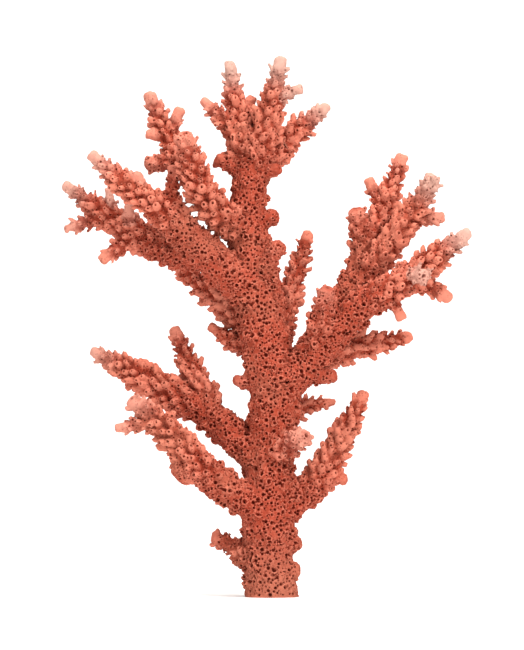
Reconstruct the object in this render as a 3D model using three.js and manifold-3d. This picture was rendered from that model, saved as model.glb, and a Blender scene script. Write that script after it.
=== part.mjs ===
// A branch of staghorn-type coral, cut flat at its foot and standing on the cut.
// Units are millimetres, +Z is up, the front faces -Y, and the origin is the middle of the cut.
// The skeleton grew as one body. It is parted just past its main forks,
// so each branch is a solid of its own.
import * as THREE from "three";
import { mergeVertices } from "three/addons/utils/BufferGeometryUtils.js";
import Module from "manifold-3d";

const wasm = await Module();
wasm.setup();

// Driving dimensions.
const CUP_SPACING = 3.15; // between neighbouring rows of cups on a branch
const CUP_HEIGHT = 1.4; // how far a branch cup stands out of the branch
const CUP_LEAN = 0.9; // how far a cup leans towards the tip, as a share of its height
const STEM_CUP_SPACING = 4.2; // the old stem's cups are sunk and further apart
const STEM_CUP_HEIGHT = 0.6;
const BARE_TIP = 3.2; // the smooth axial cup at the end of every branch
const TIP_ROUNDING = 0.55; // length of the rounded end, as a share of the tip's radius
const TIP_MOUTH = 0.62; // radius of the flat end, as a share of the tip's radius
const FORK_GAP = 0.3; // between two pieces where they part
const FORK_BARE = 2.6; // length beside a parting that has no cups
const FEWEST_SIDES = 6;
const MID_RADIUS = 0.5; // tells a unit cylinder's rim from the middle of its ends
const WELD = 1e-4; // points nearer than this are one point
const SAW_WIDTH = 60; // the block that trims a piece behind its cut
const SAW_DEPTH = 20;

// The skeleton's colours: red-orange on old growth, paler on young growth.
const OLD_GROWTH = { color: 0xb5533f, roughness: 0.88, metalness: 0 };
const YOUNG_GROWTH = { color: 0xc96a53, roughness: 0.85, metalness: 0 };

// Every piece, with its finish.
const PIECES = {
  trunk: OLD_GROWTH,
  top_stem: OLD_GROWTH,
  top_right_branch: YOUNG_GROWTH,
  left_upper_branch: OLD_GROWTH,
  left_upper_twig: YOUNG_GROWTH,
  left_crown_upper: OLD_GROWTH,
  left_crown_lower: YOUNG_GROWTH,
  back_left_branch: OLD_GROWTH,
  back_branch: OLD_GROWTH,
  right_limb: OLD_GROWTH,
  right_upper_branch: OLD_GROWTH,
  right_upper_twig: YOUNG_GROWTH,
  right_low_branch: YOUNG_GROWTH,
  middle_left_branch: OLD_GROWTH,
  middle_left_twig: YOUNG_GROWTH,
  lower_left_branch: OLD_GROWTH,
  lower_right_branch: YOUNG_GROWTH,
};

// Every limb. Its spine runs from a root inside what it grows from to its tip,
// as points [x, y, z, radius]. A limb with a fork parts there: the first `at` millimetres
// belong to the fork's piece, and the rest to its own.
const LIMBS = {
  // The stem, from the cut foot to the split at the top.
  stem: {
    piece: "top_stem",
    fork: { piece: "trunk", at: 111.4 },
    old: true,
    spine: [
      [0.4, 0, -4, 8.2],
      [-0.1, 0, 3, 7.9],
      [-0.7, 0.3, 11, 7.3],
      [-0.9, 0.3, 23, 8],
      [-0.4, 0, 36, 7.4],
      [0.6, 0, 48, 6.9],
      [0.7, 0, 62, 7.4],
      [-1.6, 0, 75, 7.1],
      [-2.8, 0, 86, 7],
      [-4.6, 0, 97, 7],
      [-6.4, 1, 108, 6.1],
      [-6.9, 1.5, 117, 5.4],
      [-6.2, 2, 125, 5.2],
      [-6.2, 2, 132, 4.4],
    ],
  },

  // Stubs and short twigs on the trunk.
  foot_twig: {
    piece: "trunk",
    spine: [
      [-3, 0, 9.5, 3.6],
      [-11.7, 2, 15, 2.7],
      [-18, 3, 18, 1.9],
    ],
  },
  foot_knob_upper: {
    piece: "trunk",
    spine: [
      [3.5, -1, 15, 2.7],
      [9, -2, 16.4, 2.2],
    ],
  },
  foot_knob_lower: {
    piece: "trunk",
    spine: [
      [3, -1, 7.6, 3],
      [8.6, -2.5, 8.2, 2.4],
    ],
  },
  front_twig: {
    piece: "trunk",
    spine: [
      [1, -3, 43, 4],
      [6.2, -9, 46.4, 3.2],
      [10.4, -14, 48.6, 2.4],
    ],
  },
  dark_twig: {
    piece: "trunk",
    spine: [
      [4, 4, 54.5, 3],
      [12.3, 8.5, 57.6, 2],
      [19.2, 11, 58.2, 0.9],
    ],
  },
  left_knob: {
    piece: "trunk",
    spine: [
      [-4, -1, 63.5, 2],
      [-11.2, -2, 65.4, 1.6],
    ],
  },
  left_twig: {
    piece: "trunk",
    spine: [
      [-4, 2, 73, 3],
      [-12, 4, 77.2, 2.2],
      [-18.6, 5, 81.3, 1.5],
    ],
  },
  front_knob: {
    piece: "trunk",
    spine: [
      [-4, -3, 95, 3.4],
      [0, -7, 101.6, 2.5],
      [3, -9, 106.2, 2.1],
    ],
  },
  rear_foot_twig: {
    piece: "trunk",
    spine: [
      [-1, 4, 22, 3.2],
      [-2.5, 11, 27.5, 2.4],
      [-4, 16, 33, 1.6],
    ],
  },
  rear_middle_twig: {
    piece: "trunk",
    spine: [
      [0.5, 3, 46, 3.2],
      [0, 11, 52, 2.5],
      [-1, 17, 60, 1.6],
    ],
  },

  // The lowest branch on the left, in front, with its side twig and its round lump.
  lower_left: {
    piece: "lower_left_branch",
    fork: { piece: "trunk", at: 16 },
    spine: [
      [-1.5, -1.5, 25.6, 5],
      [-12.3, -5, 32, 4.6],
      [-22.6, -8, 40.6, 4.2],
      [-32.2, -11, 51.3, 3.4],
      [-41.8, -14, 59.6, 1.9],
    ],
  },
  lower_left_lump: {
    piece: "lower_left_branch",
    spine: [
      [-22.5, -8, 41, 3.8],
      [-27.8, -9, 35.6, 3.6],
    ],
  },
  lower_left_twig: {
    piece: "lower_left_branch",
    spine: [
      [-34, -12, 53.5, 2.3],
      [-40.6, -13, 51.8, 1.9],
      [-46.6, -13.5, 50.4, 1.5],
    ],
  },

  // The branch above it, with an upright twig.
  middle_left: {
    piece: "middle_left_branch",
    fork: { piece: "trunk", at: 16.5 },
    spine: [
      [-1, 0, 37.6, 5],
      [-12.2, 3, 49, 4.9],
      [-22, 5, 56.8, 4.7],
      [-33.6, 6, 63, 3.9],
      [-45.4, 6, 69.4, 2.8],
      [-54.2, 6, 74, 1.6],
    ],
  },
  middle_left_rise: {
    piece: "middle_left_twig",
    fork: { piece: "middle_left_branch", at: 12.5 },
    spine: [
      [-17.5, 5, 55.6, 3.6],
      [-23.9, 8.5, 68.2, 2.9],
      [-29.2, 12, 80.8, 1.8],
    ],
  },

  // The lowest branch on the right.
  lower_right: {
    piece: "lower_right_branch",
    fork: { piece: "trunk", at: 14.5 },
    spine: [
      [0.5, 0, 24.6, 4.9],
      [10.6, 0, 31.2, 4.2],
      [19, 2, 43.2, 3.5],
      [24, 4, 52.8, 2.8],
      [28.2, 5, 61.5, 1.5],
    ],
  },
  lower_right_knob: {
    piece: "lower_right_branch",
    spine: [
      [16.5, 1.5, 37, 2.4],
      [22.8, 1, 34.9, 1.7],
    ],
  },

  // The right limb, which runs out into the long pale branch.
  right_main: {
    piece: "right_limb",
    fork: { piece: "trunk", at: 15.5 },
    spine: [
      [0.8, 0, 59.4, 6.3],
      [9.4, -1.5, 69.2, 5.4],
      [16.8, -3, 77.4, 5.2],
      [26.5, -6, 86.6, 4.5],
      [38.9, -9, 94.4, 4],
      [49.6, -11, 101.9, 3.1],
      [59.4, -12, 109.4, 1.8],
    ],
  },
  right_front_twig: {
    piece: "right_limb",
    spine: [
      [14.4, -4, 75, 3.8],
      [15.2, -9, 84, 3.2],
      [17, -13, 92.8, 2.3],
    ],
  },
  right_knob: {
    piece: "right_limb",
    spine: [
      [8, -2, 66.6, 3.5],
      [14, -4, 66.4, 2.6],
      [19.5, -5, 66.4, 1.8],
    ],
  },
  right_facing_knob: {
    piece: "right_limb",
    spine: [
      [41.5, -9.5, 96.4, 2.4],
      [45.4, -17, 96.2, 2],
    ],
  },
  right_hanging_twig: {
    piece: "right_limb",
    spine: [
      [34, -8, 91.5, 2.2],
      [39.4, -9.5, 83.2, 1.6],
    ],
  },
  right_side_twig: {
    piece: "right_limb",
    spine: [
      [41, -9.5, 95.5, 2.8],
      [48.6, -7, 92.4, 2.1],
      [53.8, -6, 89.3, 1.5],
    ],
  },

  // The branch under the right limb, and the pair above it.
  right_low: {
    piece: "right_low_branch",
    fork: { piece: "right_limb", at: 12.5 },
    spine: [
      [11.5, -1, 72, 4.1],
      [22.5, 6, 74.6, 3.5],
      [33.3, 12, 76.4, 2.7],
      [42.6, 16, 77.8, 1.5],
    ],
  },
  right_upper: {
    piece: "right_upper_branch",
    fork: { piece: "right_limb", at: 18 },
    spine: [
      [15, -2, 75.5, 4.7],
      [24.2, 3, 93, 4],
      [29, 5, 103.5, 3.8],
      [32.6, 7, 112, 3.3],
      [35.9, 9, 121.5, 2.6],
      [39.7, 11, 133, 1.8],
    ],
  },
  right_upper_lump: {
    piece: "right_upper_branch",
    spine: [
      [28, 5, 103, 3.1],
      [25.5, 2, 116.6, 2.5],
    ],
  },
  right_upper_side: {
    piece: "right_upper_branch",
    spine: [
      [34, 8, 115.5, 2],
      [29.2, 9, 125.6, 1.5],
    ],
  },
  right_upper_fork: {
    piece: "right_upper_twig",
    fork: { piece: "right_upper_branch", at: 20 },
    spine: [
      [23.5, 3, 89, 3.6],
      [34.6, 0, 103.8, 3.8],
      [42.2, -0.5, 115.2, 3.1],
      [49.2, -1, 126.4, 2.2],
    ],
  },
  right_upper_spur: {
    piece: "right_upper_twig",
    spine: [
      [42, 0, 113.4, 2.2],
      [51.8, 2, 114, 1.5],
    ],
  },

  // The branch behind the stem on the right.
  back_right: {
    piece: "back_branch",
    fork: { piece: "trunk", at: 17 },
    spine: [
      [-0.5, 2, 68, 4.4],
      [4.4, 11, 86, 3],
      [8.8, 16, 101, 2.4],
      [11.5, 19, 109.9, 1.6],
    ],
  },

  // The branch behind the crown on the left.
  back_left: {
    piece: "back_left_branch",
    fork: { piece: "trunk", at: 16.5 },
    spine: [
      [-2.5, 2, 77.6, 4.2],
      [-13, 9, 87.4, 3.6],
      [-22.2, 14, 94.8, 2.8],
      [-29.4, 18, 100, 1.6],
    ],
  },

  // The left crown: two long branches with their side twigs.
  crown_upper: {
    piece: "left_crown_upper",
    fork: { piece: "trunk", at: 18.5 },
    spine: [
      [-3, -0.5, 89, 6.2],
      [-14, -4, 98.2, 5.6],
      [-23.4, -6, 107, 4.8],
      [-33, -7.5, 116, 3.7],
      [-44.5, -8.5, 124.2, 2.8],
      [-54, -9, 132.8, 1.6],
    ],
  },
  crown_upper_rise: {
    piece: "left_crown_upper",
    spine: [
      [-28.5, -7, 112.5, 2.4],
      [-29.5, -7, 121, 2],
      [-29.4, -6.5, 129.2, 1.6],
    ],
  },
  crown_upper_knob: {
    piece: "left_crown_upper",
    spine: [
      [-38.5, -8, 120.5, 2],
      [-40.4, -9, 127.4, 1.7],
    ],
  },
  crown_lower: {
    piece: "left_crown_lower",
    fork: { piece: "left_crown_upper", at: 13.5 },
    spine: [
      [-19.5, -5.5, 102.5, 4.6],
      [-30, 1, 103.4, 4.1],
      [-40, 4, 108.7, 3.6],
      [-51.4, 5.5, 116.4, 2.7],
      [-62.6, 6, 124, 1.6],
    ],
  },
  crown_lower_side: {
    piece: "left_crown_lower",
    spine: [
      [-47, 5, 113.6, 2.4],
      [-55, 3, 112.4, 1.9],
      [-62.2, 1.5, 110.4, 1.4],
    ],
  },
  crown_lower_hang: {
    piece: "left_crown_lower",
    spine: [
      [-39, 4, 108.4, 2.9],
      [-45.5, 2, 104.8, 2.3],
      [-51.2, 0.5, 100.6, 1.6],
    ],
  },
  crown_lower_post: {
    piece: "left_crown_lower",
    spine: [
      [-42, 4, 109.5, 2.2],
      [-42.6, 0, 118, 1.6],
    ],
  },
  crown_lower_knob: {
    piece: "left_crown_lower",
    spine: [
      [-47.5, 5, 115, 1.7],
      [-49.2, 4, 123, 1.2],
    ],
  },

  // The pair that leans out of the top stem to the left.
  upper_left: {
    piece: "left_upper_branch",
    fork: { piece: "top_stem", at: 12 },
    spine: [
      [-6.4, 0.5, 107.6, 4.8],
      [-13.6, -3.5, 113.2, 4.3],
      [-20.3, -9, 121, 3.8],
      [-24.3, -13.4, 132, 3.1],
      [-25.6, -15.4, 138.8, 2.2],
    ],
  },
  upper_left_fork: {
    piece: "left_upper_twig",
    fork: { piece: "left_upper_branch", at: 10 },
    spine: [
      [-17.5, -6, 118.5, 3.5],
      [-26, 1, 129, 3.2],
      [-31.8, 4, 140, 2.7],
      [-37.1, 6, 151.6, 1.7],
    ],
  },
  upper_left_spur: {
    piece: "left_upper_twig",
    spine: [
      [-30.6, 3.5, 138.5, 2],
      [-27.2, 5, 146.6, 1.6],
    ],
  },
  upper_left_stub: {
    piece: "left_upper_twig",
    spine: [
      [-31, 3.5, 137.6, 1.7],
      [-37.6, 2, 138.8, 1.4],
    ],
  },
  upper_left_side: {
    piece: "left_upper_twig",
    spine: [
      [-27.5, 2, 131.4, 2.4],
      [-37.8, 1, 129.8, 2],
    ],
  },

  // The top: two upright branches and one that leans to the right.
  top_left: {
    piece: "top_stem",
    spine: [
      [-6.8, 2, 128, 4.2],
      [-9.6, 3.5, 141.4, 3.3],
      [-11.2, 4.5, 150.6, 2.5],
      [-12.5, 5, 161, 1.6],
    ],
  },
  top_left_side: {
    piece: "top_stem",
    spine: [
      [-8.5, 3, 137, 3],
      [-14.6, 2, 143.8, 2.4],
      [-20.8, 1, 149.2, 1.4],
    ],
  },
  top_left_knob: {
    piece: "top_stem",
    spine: [
      [-9, 3.5, 143, 2.1],
      [-5.2, 5, 150.4, 1.6],
    ],
  },
  top_middle: {
    piece: "top_stem",
    spine: [
      [-5.5, 1.5, 128, 4.2],
      [-0.7, -0.5, 144.6, 3.5],
      [1.2, -1.5, 152.7, 2.6],
      [3.1, -2, 162, 1.7],
    ],
  },
  top_middle_knob: {
    piece: "top_stem",
    spine: [
      [1, -1.5, 149, 1.9],
      [9.3, -3.5, 152.7, 1.4],
    ],
  },
  top_stem_right_knob: {
    piece: "top_stem",
    spine: [
      [-4, 1, 126.5, 2.2],
      [2.6, -2.5, 128.6, 1.8],
    ],
  },
  top_stem_left_knob: {
    piece: "top_stem",
    spine: [
      [-8, 2, 127.6, 2.4],
      [-16.5, 1, 131.8, 1.9],
    ],
  },
  top_stem_low_knob: {
    piece: "top_stem",
    spine: [
      [-5, 1, 111.5, 3],
      [1.6, -1, 114.8, 2.3],
    ],
  },
  rear_top_twig: {
    piece: "top_stem",
    spine: [
      [-6.5, 3, 117, 2.8],
      [-7, 10, 123, 2.2],
      [-7.5, 14, 130, 1.5],
    ],
  },
  top_right: {
    piece: "top_right_branch",
    fork: { piece: "top_stem", at: 13 },
    spine: [
      [-5.5, 3, 126.5, 4.2],
      [2.8, 6.5, 135.2, 3.5],
      [9.7, 8.5, 141.3, 2.8],
      [17.4, 10, 148, 1.5],
    ],
  },
};

const DEPTH = new THREE.Vector3(0, 1, 0);
const UP = new THREE.Vector3(0, 0, 1);

// A spine with its curve, its length and its radius at a distance along it.
function readSpine(points) {
  const knots = points.map(([x, y, z]) => new THREE.Vector3(x, y, z));
  const curve = new THREE.CatmullRomCurve3(knots, false, "centripetal");
  const length = curve.getLength();
  const last = points.length - 1;
  const radiusAt = (distance) => {
    const place = curve.getUtoTmapping(distance / length) * last;
    const knot = Math.min(Math.floor(place), last - 1);
    return THREE.MathUtils.lerp(points[knot][3], points[knot + 1][3], place - knot);
  };
  return { curve, length, radiusAt };
}

// The distances along a limb at which it has a ring of points.
// A free end gets one more ring, at its rounded tip.
function ringPlaces(from, to, spacing, tipRounding) {
  const steps = Math.max(2, Math.round((to - tipRounding - from) / spacing));
  const step = (to - tipRounding - from) / steps;
  const places = Array.from({ length: steps + 1 }, (_, i) => from + step * i);
  return tipRounding > 0 ? [...places, to] : places;
}

// A limb from one distance along its spine to another: a cylinder bent along the curve, with every second
// point of each ring drawn out into a cup that leans towards the tip.
function limbGeometry(spine, from, to, { spacing, cup, freeTip, bareFrom }) {
  const tipRadius = spine.radiusAt(to);
  const places = ringPlaces(from, to, spacing, freeTip ? TIP_ROUNDING * tipRadius : 0);
  const bareTo = to - (freeTip ? BARE_TIP : FORK_BARE);
  const girth = Math.PI * (spine.radiusAt(from) + tipRadius);
  const sides = Math.max(FEWEST_SIDES, 2 * Math.round(girth / spacing / 2));
  const rings = places.length - 1;
  const limb = new THREE.CylinderGeometry(1, 1, 1, sides, rings, false);
  limb.deleteAttribute("normal");
  limb.deleteAttribute("uv");
  const position = limb.getAttribute("position");
  const local = new THREE.Vector3();
  for (let i = 0; i < position.count; i++) {
    local.fromBufferAttribute(position, i);
    const ring = Math.round((local.y + 0.5) * rings);
    const place = places[ring];
    const u = THREE.MathUtils.clamp(place / spine.length, 0, 1);
    const along = spine.curve.getTangentAt(u);
    const outward = DEPTH.clone().addScaledVector(along, -DEPTH.dot(along)).normalize();
    const sideways = new THREE.Vector3().crossVectors(along, outward);
    const angle = Math.atan2(local.z, local.x);
    const column = Math.round((angle / (2 * Math.PI)) * sides);
    const radial = outward.multiplyScalar(Math.sin(angle)).addScaledVector(sideways, Math.cos(angle));
    const isRim = Math.hypot(local.x, local.z) > MID_RADIUS;
    const isMouth = freeTip && ring === rings;
    const radius = isRim ? spine.radiusAt(place) * (isMouth ? TIP_MOUTH : 1) : 0;
    const hasCup = isRim && (ring + column) % 2 === 0 && place > bareFrom && place < bareTo;
    const height = hasCup ? cup : 0;
    const point = spine.curve.getPointAt(u);
    point.addScaledVector(radial, radius + height).addScaledVector(along, height * CUP_LEAN);
    position.setXYZ(i, point.x, point.y, point.z);
  }
  return mergeVertices(limb, WELD);
}

// A closed geometry as a solid, and a solid as a geometry.
function solidOf(geometry) {
  const vertProperties = new Float32Array(geometry.getAttribute("position").array);
  const triVerts = new Uint32Array(geometry.index.array);
  return new wasm.Manifold(new wasm.Mesh({ numProp: 3, vertProperties, triVerts }));
}

function geometryOf(solid) {
  const { vertProperties, triVerts } = solid.getMesh();
  const geometry = new THREE.BufferGeometry();
  geometry.setAttribute("position", new THREE.BufferAttribute(vertProperties, 3));
  geometry.setIndex(new THREE.BufferAttribute(triVerts, 1));
  geometry.computeVertexNormals();
  return geometry;
}

// The lengths of limb that each piece is made of, joined into one solid a piece.
const solids = new Map();
function addLength(piece, spine, from, to, look) {
  const solid = solidOf(limbGeometry(spine, from, to, look));
  solids.set(piece, solids.has(piece) ? solids.get(piece).add(solid) : solid);
}

for (const { piece, fork, old, spine: points } of Object.values(LIMBS)) {
  const spine = readSpine(points);
  const cups = old
    ? { spacing: STEM_CUP_SPACING, cup: STEM_CUP_HEIGHT }
    : { spacing: CUP_SPACING, cup: CUP_HEIGHT };
  const start = fork ? fork.at + FORK_GAP / 2 : 0;
  const bareFrom = fork ? fork.at + FORK_BARE : FORK_BARE;
  if (fork) {
    const end = fork.at - FORK_GAP / 2;
    addLength(fork.piece, spine, 0, end, { ...cups, freeTip: false, bareFrom: FORK_BARE });
  }
  addLength(piece, spine, start, spine.length, { ...cups, freeTip: true, bareFrom });
}

// What lies behind a cut is sawn off: the foot below the origin, and each branch behind its fork.
function sawBehind(piece, point, along) {
  const block = new THREE.BoxGeometry(SAW_WIDTH, SAW_WIDTH, SAW_DEPTH).translate(0, 0, -SAW_DEPTH / 2);
  block.deleteAttribute("normal");
  block.deleteAttribute("uv");
  block.applyQuaternion(new THREE.Quaternion().setFromUnitVectors(UP, along));
  block.translate(point.x, point.y, point.z);
  solids.set(piece, solids.get(piece).subtract(solidOf(mergeVertices(block))));
}

sawBehind("trunk", new THREE.Vector3(0, 0, 0), UP);
for (const { piece, fork, spine: points } of Object.values(LIMBS)) {
  if (!fork) continue;
  const spine = readSpine(points);
  const u = (fork.at + FORK_GAP / 2) / spine.length;
  sawBehind(piece, spine.curve.getPointAt(u), spine.curve.getTangentAt(u));
}

const coral = new THREE.Group();
coral.name = "branching_coral";
for (const [name, finish] of Object.entries(PIECES)) {
  const mesh = new THREE.Mesh(geometryOf(solids.get(name)), new THREE.MeshStandardMaterial(finish));
  mesh.name = name;
  coral.add(mesh);
}

export default coral;
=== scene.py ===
"""A branch of staghorn-type coral, dressed for looks around its solids.

The limbs, cups and pits are shaped in millimetres in the part's own frame: +Z is up, the front faces -Y and
the origin is the middle of the cut foot. Each finished piece is then brought down to metres.
"""

import sys
import logging
import math
from dataclasses import dataclass, field
from enum import Enum
from typing import Any

import bpy
import numpy as np
from mathutils import Matrix, Vector


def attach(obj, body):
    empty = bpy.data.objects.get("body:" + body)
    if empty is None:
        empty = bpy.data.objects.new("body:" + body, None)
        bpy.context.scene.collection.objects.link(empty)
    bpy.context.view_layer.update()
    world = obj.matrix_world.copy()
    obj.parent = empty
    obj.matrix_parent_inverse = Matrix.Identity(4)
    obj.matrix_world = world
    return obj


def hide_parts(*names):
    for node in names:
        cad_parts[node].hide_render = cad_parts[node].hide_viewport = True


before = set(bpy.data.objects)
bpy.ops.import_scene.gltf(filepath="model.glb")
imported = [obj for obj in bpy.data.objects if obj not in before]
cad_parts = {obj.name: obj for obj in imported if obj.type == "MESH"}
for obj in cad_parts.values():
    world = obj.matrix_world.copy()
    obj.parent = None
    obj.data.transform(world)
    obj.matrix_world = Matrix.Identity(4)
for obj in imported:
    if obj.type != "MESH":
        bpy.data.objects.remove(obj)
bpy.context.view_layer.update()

LOG = logging.getLogger("coral")
MM = 0.001
SEED = 1759
GOLDEN_ANGLE = math.pi * (3.0 - math.sqrt(5.0))


class Growth(Enum):
    """How long ago a piece of the skeleton grew, which is also its material slot."""

    OLD = "old_growth"
    YOUNG = "young_growth"


PIECES: dict[str, Growth] = {
    "trunk": Growth.OLD,
    "top_stem": Growth.OLD,
    "top_right_branch": Growth.YOUNG,
    "left_upper_branch": Growth.OLD,
    "left_upper_twig": Growth.YOUNG,
    "left_crown_upper": Growth.OLD,
    "left_crown_lower": Growth.YOUNG,
    "back_left_branch": Growth.OLD,
    "back_branch": Growth.OLD,
    "right_limb": Growth.OLD,
    "right_upper_branch": Growth.OLD,
    "right_upper_twig": Growth.YOUNG,
    "right_low_branch": Growth.YOUNG,
    "middle_left_branch": Growth.OLD,
    "middle_left_twig": Growth.YOUNG,
    "lower_left_branch": Growth.OLD,
    "lower_right_branch": Growth.YOUNG,
}

Knot = tuple[float, float, float, float]


@dataclass(frozen=True)
class Limb:
    """One limb of the coral, from a root inside what it grows from to its tip.

    Attributes:
        piece: The piece that holds its free end.
        knots: Points (x, y, z, radius) along it, in millimetres.
        stub: The piece that holds its first length, where it parts at a fork.
        parts_at: How far along it parts, in millimetres.
        age: 0 where it is young all over, 1 where its cups are sunk and pitted throughout.
        pale: How pale its tip is, from 0 to 1.
    """

    piece: str
    knots: tuple[Knot, ...]
    stub: str = ""
    parts_at: float = 0.0
    age: float = 0.0
    pale: float = 0.3


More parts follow.
